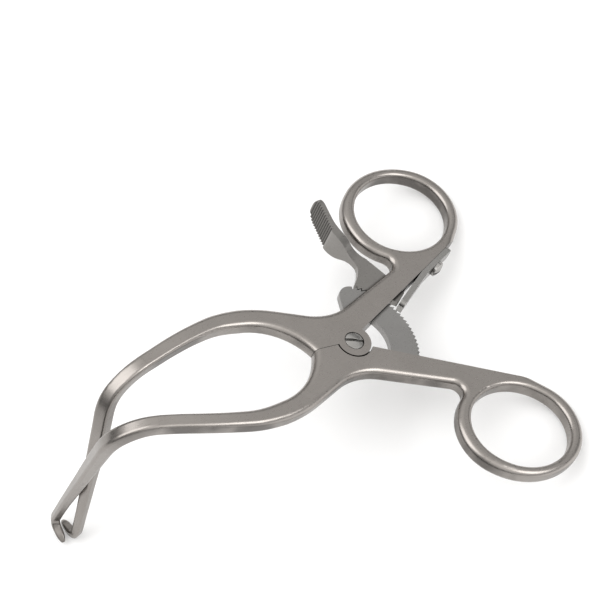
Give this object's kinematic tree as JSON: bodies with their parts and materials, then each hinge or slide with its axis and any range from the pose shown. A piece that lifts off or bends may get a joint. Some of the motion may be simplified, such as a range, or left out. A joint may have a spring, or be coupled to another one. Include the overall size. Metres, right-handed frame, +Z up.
{
  "type": "hinged surgical retractor",
  "caption": "Self-holding surgical retractor: two ring-handled levers on a lapped screw joint, bent arms with deep legs and pointed prongs, a ratchet bar and a sprung thumb release.",
  "frame": {"origin": "centre of the bounding box in plan, on the ground that the two finger rings and the two prongs rest on", "axes": "+X from the prongs to the finger rings, +Y to the upper lever with the thumb release, +Z up"},
  "size_m": [0.1406, 0.1042, 0.058],
  "materials": {
    "lever_steel": "satin, bead blasted",
    "ratchet_steel": "satin",
    "spring_steel": "satin",
    "screw_steel": "satin"
  },
  "bodies": {
    "lower_half": {"lower_lever": "lever_steel", "ratchet_bar": "ratchet_steel", "ratchet_pins": "screw_steel", "joint_screw": "screw_steel"},
    "upper_half": {"upper_lever": "lever_steel", "lever_pin": "screw_steel", "leaf_spring": "spring_steel", "spring_screw": "screw_steel"},
    "release": {"release_lever": "lever_steel"}
  },
  "joints": [
    {"name": "handles", "type": "hinge", "parent": "lower_half", "child": "upper_half", "pos_m": [0.02385, 0, 0.02662], "axis": [-0.4799, 0, -0.8773], "range_deg": [0, 46.8]},
    {"name": "thumb_release", "type": "hinge", "parent": "upper_half", "child": "release", "pos_m": [0.04035, 0.01372, 0.0176], "axis": [-0.4799, 0, -0.8773], "range_deg": [0, 6], "stiffness_Nm_per_rad": 0.3, "springref_deg": -5.73}
  ]
}
